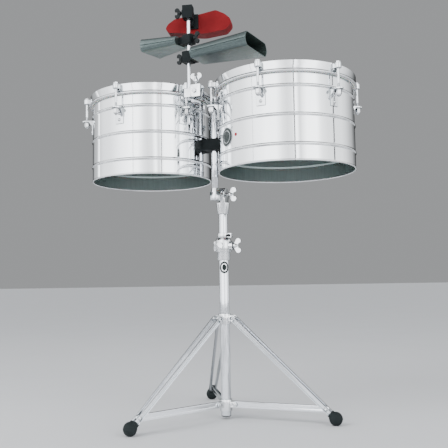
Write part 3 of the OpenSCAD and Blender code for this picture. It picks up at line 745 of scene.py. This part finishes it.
def build_block():
    """Moulded block: flat near face with crisp edges, sound slot cut into the far face."""
    lo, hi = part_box("plastic_block")
    m = on_rod(hi.z / MM - 42, BLOCK_TURN) @ Matrix.Translation((22, BLOCK_NEAR, 0))
    outline = rounded([(-97, -2), (-88, -14), (16, -25), (78, -17), (93, 0), (92, 14), (76, 29), (50, 42),
                       (3, 33), (-69, 25), (-90, 11)], 5, 3)
    bm = bmesh.new()
    near = [bm.verts.new(m @ Vector((x, 0, z))) for x, z in outline]
    far = [bm.verts.new(m @ Vector((x, BLOCK_DEEP, z))) for x, z in outline]
    bm.faces.new(near)
    n = len(outline)
    for i in range(n):
        j = (i + 1) % n
        bm.faces.new((near[i], far[i], far[j], near[j]))
    mouth = rounded([(-64, -3), (64, -3), (64, 3), (-64, 3)], 2.9, 3)
    lip = [bm.verts.new(m @ Vector((x, BLOCK_DEEP, z))) for x, z in mouth]
    deep = [bm.verts.new(m @ Vector((x, BLOCK_DEEP - SLOT_DEEP, z))) for x, z in mouth]
    k = len(mouth)
    edges = [bm.edges.new((lip[i], lip[(i + 1) % k])) for i in range(k)]
    edges += [bm.edges.get((far[i], far[(i + 1) % n])) for i in range(n)]
    bmesh.ops.triangle_fill(bm, use_beauty=True, use_dissolve=False, edges=edges)
    for i in range(k):
        j = (i + 1) % k
        bm.faces.new((lip[i], lip[j], deep[j], deep[i]))
    bm.faces.new(deep).material_index = 1
    finish_mesh("plastic_block_body", bm, "plastic_set", [M_RED, M_BLACK], ("plastic_block",),
                bevel=1.4, steps=3)


build_block()


# ---------- feet, plugs, pivot caps ----------

TUBE_X = centre("lower_tube").x
FOOT_REACH, FOOT_Z, FOOT_R = 319.0, 18.0, 18.9   # ball's centre out from the tube and up, and its radius
COLLAR_PIVOT = (27.0, 287.0)       # radius and height of the leg's upper pivot
BRACE_PIVOT = (293.0, 42.0)


def build_foot(k):
    """Moulded rubber ball with a ridge round its middle, a flat tread and a collar round the leg."""
    a = radians(120 * (k - 1))
    x, y = TUBE_X + FOOT_REACH * cos(a), FOOT_REACH * sin(a)
    bm = bmesh.new()
    prof = [(0, 0.05), (5.6, 0.05)]
    for t in range(-68, 91, 8):
        ridge = 0.1 if abs(t) <= 10 else -0.7 if abs(t) in (12, 28) else 0.0
        rr = FOOT_R + ridge
        prof.append((max(rr * cos(radians(t)), 0.0), FOOT_Z + rr * sin(radians(t))))
    prof.append((0, FOOT_Z + FOOT_R))
    add_lathe(bm, prof, at(x, y, 0), 64)
    slope = atan2(COLLAR_PIVOT[1] - FOOT_Z, FOOT_REACH - COLLAR_PIVOT[0])
    out = Vector((cos(a) * -cos(slope), sin(a) * -cos(slope), sin(slope)))
    m = aim(Vector((x, y, FOOT_Z)) + out * 12, out, (-sin(a), cos(a), 0))
    collar = rounded([(-13.2, -8.6), (13.2, -8.6), (13.2, 8.6), (-13.2, 8.6)], 4)
    add_prism(bm, collar, 0, 8.5, m)
    finish_mesh(f"foot_{k}_rubber", bm, f"leg_arm_{k}", [M_RUBBER], (f"foot_{k}",),
                bevel=1.0, steps=3)


def build_caps(k):
    """Domed rivet heads on the outer faces of the leg straps, at the collar and at the brace."""
    a = radians(120 * (k - 1))
    t = Vector((-sin(a), cos(a), 0))
    dome = [(0, 0), (4.9, 0), (4.7, 1.4), (3.6, 2.6), (1.6, 3.3), (0, 3.4)]
    bm = bmesh.new()
    for (r, z), face in ((COLLAR_PIVOT, 13.3), (BRACE_PIVOT, 6.4)):
        for s in (-1, 1):
            p = Vector((TUBE_X + r * cos(a), r * sin(a), z)) + t * (s * face)
            add_lathe(bm, dome, aim(p, t * s), 28)
    finish_mesh(f"leg_{k}_rivets", bm, f"leg_arm_{k}", [M_FAST], (), bevel=0.2)


for k in (1, 2, 3):
    build_foot(k)
    build_caps(k)


def build_plug():
    """Black plug in the lower end of the tube."""
    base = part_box("lower_tube")[0].z / MM
    bm = bmesh.new()
    add_lathe(bm, [(0, base - 3.0), (12.5, base - 3.0), (14.0, base - 1.8), (14.2, base - 0.05),
                   (12.5, base - 0.05), (12.5, base + 8), (0, base + 8)], at(TUBE_X, 0, 0), 48)
    finish_mesh("tube_plug", bm, "stand", [M_RUBBER], (), bevel=0.4)


def build_hex_screw():
    """Hex screw on the front of the rod block."""
    c = centre("block_screw")
    m = aim((c.x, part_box("block_screw")[0].y / MM, c.z), (0, 1, 0))
    bm = bmesh.new()
    add_prism(bm, hexagon(11.2), 0, 3.9, m)
    add_lathe(bm, [(0, 3.8), (2.4, 3.8), (2.4, 17.5), (0, 17.5)], m, 24)
    finish_mesh("block_hex_screw", bm, "drums", [M_FAST], ("block_screw",),
                bevel=0.6, steps=3)


build_plug()
build_hex_screw()


# ---------- badges: plain enamel layers, no lettering ----------

TUBE_R = 14.3                      # outer radius of the lower tube
LABEL_AT = -64                     # degrees round the tube


def build_enamel(node, body, axis, wall, mid, skirt, rings, count, layers):
    """Thin layers wrapped on a round wall in place of a badge node. Each layer is a name, half width,
    half height, lift off the wall, material and degrees round from the badge's middle."""
    z = centre(node).z
    for name, w, h, lift, mat, turn in layers:
        a = mid + radians(turn)
        bm = bmesh.new()

        def loop(share, out):
            """One ring of vertices, or the middle one."""
            found = []
            for j in range(count if share else 1):
                t = a + w * share * cos(2 * pi * j / count) / wall
                up = h * share * sin(2 * pi * j / count)
                found.append(bm.verts.new((axis.x + (wall + out) * cos(t), axis.y + (wall + out) * sin(t),
                                           z + up)))
            return found

        middle = loop(0, lift)[0]
        loops = [loop(i / rings, lift) for i in range(1, rings + 1)] + [loop(1, skirt)]
        for j in range(count):
            k = (j + 1) % count
            bm.faces.new((middle, loops[0][j], loops[0][k]))
            for inner, outer in zip(loops, loops[1:]):
                bm.faces.new((inner[j], outer[j], outer[k], inner[k]))
        finish_mesh(name, bm, body, [mat], (node,) if name == layers[0][0] else ())


c, b = centre("large_head"), centre("drum_badge")
build_enamel("drum_badge", "drums", c, shell_radius("large"), atan2(b.y - c.y, b.x - c.x), 0.02, 8, 64, (
    ("badge_rim", 26.0, 26.0, 1.0, M_FAST, 0), ("badge_field", 24.6, 24.6, 1.25, M_DISC, 0),
    ("badge_ring", 17.0, 17.0, 1.45, M_FAST, 0), ("badge_middle", 16.0, 16.0, 1.6, M_DISC, 0),
    ("badge_spot", 4.5, 4.5, 0.4, M_SPOT, 12)))
build_enamel("tube_badge", "stand", Vector((TUBE_X, 0, 0)), TUBE_R, radians(LABEL_AT), 0.01, 6, 48, (
    ("label_rim", 15.0, 18.5, 0.25, M_FAST, 0), ("label_field", 13.9, 17.3, 0.45, M_DISC, 0),
    ("label_ring", 8.6, 11.8, 0.6, M_FAST, 0), ("label_middle", 6.2, 9.2, 0.75, M_DISC, 0)))


# ---------- stage, light and camera ----------

FLOOR_SEEN = 1.35                  # brightness of the floor in reflections, against what the camera sees
FLOOR_HALF = 60.0


def stage_material(name, colour, rough, seen=1.0):
    """Plain paint with a faint cloud; reflections see it patchy and at another brightness."""
    n = Nodes(name)
    cloud = n.noise(2.5, 4)
    tint = n.mix(n.ramp(cloud, 0.0, 1.0), rgba(*colour), dimmed(colour, 0.97))
    path = n.add("ShaderNodeLightPath").outputs["Is Glossy Ray"]
    patches = n.ramp(n.noise(1.6, 2), 0.0, 1.0, 0.42, 0.58)
    mirrored = n.mix(patches, dimmed(colour, seen * 0.45), dimmed(colour, seen))
    return n.set(Base_Color=n.mix(path, tint, mirrored), Roughness=rough)


def stage_sheet(name, corners, mat):
    """One flat face of the studio."""
    me = bpy.data.meshes.new(name)
    me.from_pydata(corners, [], [(0, 1, 2, 3)])
    me.materials.append(mat)
    ob = bpy.data.objects.new(name, me)
    scene.collection.objects.link(ob)
    return ob


def floor():
    """Plain pale floor."""
    s = FLOOR_HALF
    paint = stage_material("pale_floor", (0.60, 0.61, 0.63), 0.6, FLOOR_SEEN)
    stage_sheet("floor", [(-s, -s, 0), (s, -s, 0), (s, s, 0), (-s, s, 0)], paint)


def flag(name, x, y, width, top, shade):
    """Narrow upright studio flag that faces the tube, seen only in reflections. Lengths in metres."""
    side = Vector((-y, x, 0)).normalized() * width / 2
    p = Vector((x + TUBE_X * MM, y, 0))
    a, b = p - side, p + side
    paint = stage_material(name + "_paint", (shade, shade * 1.03, shade * 1.03), 0.9)
    ob = stage_sheet(name, [(a.x, a.y, 0.05), (b.x, b.y, 0.05), (b.x, b.y, top), (a.x, a.y, top)], paint)
    ob.visible_camera = False
    ob.visible_shadow = False
    ob.visible_diffuse = False


def area(name, pos, target, sx, sy, power):
    """Soft rectangular lamp that reflections don't see."""
    li = bpy.data.lights.new(name, "AREA")
    li.shape = "RECTANGLE"
    li.size, li.size_y = sx, sy
    li.energy = power
    ob = bpy.data.objects.new(name, li)
    ob.location = pos
    ob.rotation_euler = (Vector(target) - Vector(pos)).to_track_quat("-Z", "Y").to_euler()
    scene.collection.objects.link(ob)
    ob.visible_glossy = False


# what polished metal sees round the horizon: (azimuth, level), softboxes with dimmer gaps between them
SKY = ((-180, 1.5), (-170, 2.0), (-150, 2.3), (-130, 3.2), (-110, 4.5), (-90, 4.5), (-79, 2.8), (-70, 2.1),
       (-61, 2.4), (-57, 4.6), (-49, 2.0), (-38, 4.5), (-22, 4.6), (-12, 2.6), (0, 2.1), (30, 2.0), (44, 1.3),
       (56, 0.9), (66, 0.6), (78, 0.16), (88, 0.02), (132, 0.02), (143, 0.3), (155, 0.75), (170, 0.95),
       (180, 1.5))
SKY_TOP = 5.0                      # level that the SKY ramp is scaled by
ZENITH = 0.9                       # the same scale straight above
BACKDROP, AMBIENT = 0.36, 1.15     # level for the camera, and for matt surfaces


def world():
    """Sky of softboxes for reflections, an even level for matt surfaces, a plain backdrop for the camera."""
    w = bpy.data.worlds.new("studio")
    scene.world = w
    w.use_nodes = True
    nt = w.node_tree
    bg = nt.nodes["Background"]

    def new(kind, links, **props):
        """New node with its inputs linked or set."""
        n = nt.nodes.new(kind)
        for k, v in props.items():
            setattr(n, k, v)
        for k, v in links.items():
            if isinstance(v, bpy.types.NodeSocket):
                nt.links.new(v, n.inputs[k])
            else:
                n.inputs[k].default_value = v
        return n

    def calc(op, a, b=0.0, c=0.0):
        """Result of one sum."""
        return new("ShaderNodeMath", {0: a, 1: b, 2: c}, operation=op).outputs[0]

    view = nt.nodes.new("ShaderNodeTexCoord").outputs["Generated"]
    wave = new("ShaderNodeTexNoise", {"Vector": view, "Scale": 2.2, "Detail": 2.0}).outputs["Fac"]
    axes = new("ShaderNodeSeparateXYZ", {0: view}).outputs
    turn = calc("DIVIDE", calc("ARCTAN2", axes["Y"], axes["X"]), 2 * pi)
    turn = calc("ADD", turn, calc("MULTIPLY_ADD", wave, 0.06, 0.47))
    ramp = new("ShaderNodeValToRGB", {"Fac": turn})
    stops = ramp.color_ramp.elements
    for k, (angle, level) in enumerate(SKY):
        stop = stops[k] if k < 1 else stops.new((angle + 180) / 360)
        stop.position = (angle + 180) / 360
        stop.color = [level / SKY_TOP] * 3 + [1]
    fade = {"Value": axes["Z"], "From Min": 0.6, "From Max": 0.92, "To Min": SKY_TOP, "To Max": ZENITH}
    high = new("ShaderNodeMapRange", fade, interpolation_type="SMOOTHSTEP").outputs["Result"]
    sky = calc("MULTIPLY", ramp.outputs[0], high)
    level = AMBIENT
    path = nt.nodes.new("ShaderNodeLightPath").outputs
    for ray, seen in (("Is Glossy Ray", sky), ("Is Camera Ray", BACKDROP)):
        level = new("ShaderNodeMix", {"Factor": path[ray], "A": level, "B": seen}).outputs["Result"]
    bg.inputs["Color"].default_value = (0.96, 0.98, 1.0, 1)
    nt.links.new(level, bg.inputs["Strength"])


def camera():
    """Camera at the photo's place and angle."""
    yaw, pitch, roll = (radians(v) for v in CAM_TURNS)
    ahead = Vector((sin(yaw) * cos(pitch), cos(yaw) * cos(pitch), sin(pitch)))
    level = Vector((cos(yaw), -sin(yaw), 0))
    above = level.cross(ahead)
    right = level * cos(roll) + above * sin(roll)
    up = above * cos(roll) - level * sin(roll)
    data = bpy.data.cameras.new("camera")
    data.lens = FOCAL
    data.sensor_width = 36
    ob = bpy.data.objects.new("camera", data)
    ob.matrix_world = Matrix.Translation(CAM_POS) @ Matrix((right, up, -ahead)).transposed().to_4x4()
    scene.collection.objects.link(ob)
    scene.camera = ob


CAM_POS = Vector((0.703 + TUBE_X * MM, -1.789, 0.393))
CAM_TURNS = (-21.38, 5.07, -0.97)  # yaw, pitch and roll, degrees
FOCAL = 52.35                      # mm on a 36 mm wide sensor

floor()
flag("flag_near", 0.797, -1.104, 0.034, 1.7, 0.01)
flag("flag_left", -0.267, -0.767, 0.008, 1.5, 0.22)
flag("flag_right", 1.35, 0.03, 0.05, 1.6, 0.15)
world()
area("key", (-1.6, -2.2, 2.6), (0, 0, 0.8), 1.8, 1.8, 90)
area("fill", (2.4, -1.2, 1.8), (0, 0, 0.8), 1.4, 2.0, 50)
area("low", (-2.6, -2.4, 0.9), (0.2, 0, 0.8), 1.4, 0.9, 25)
camera()
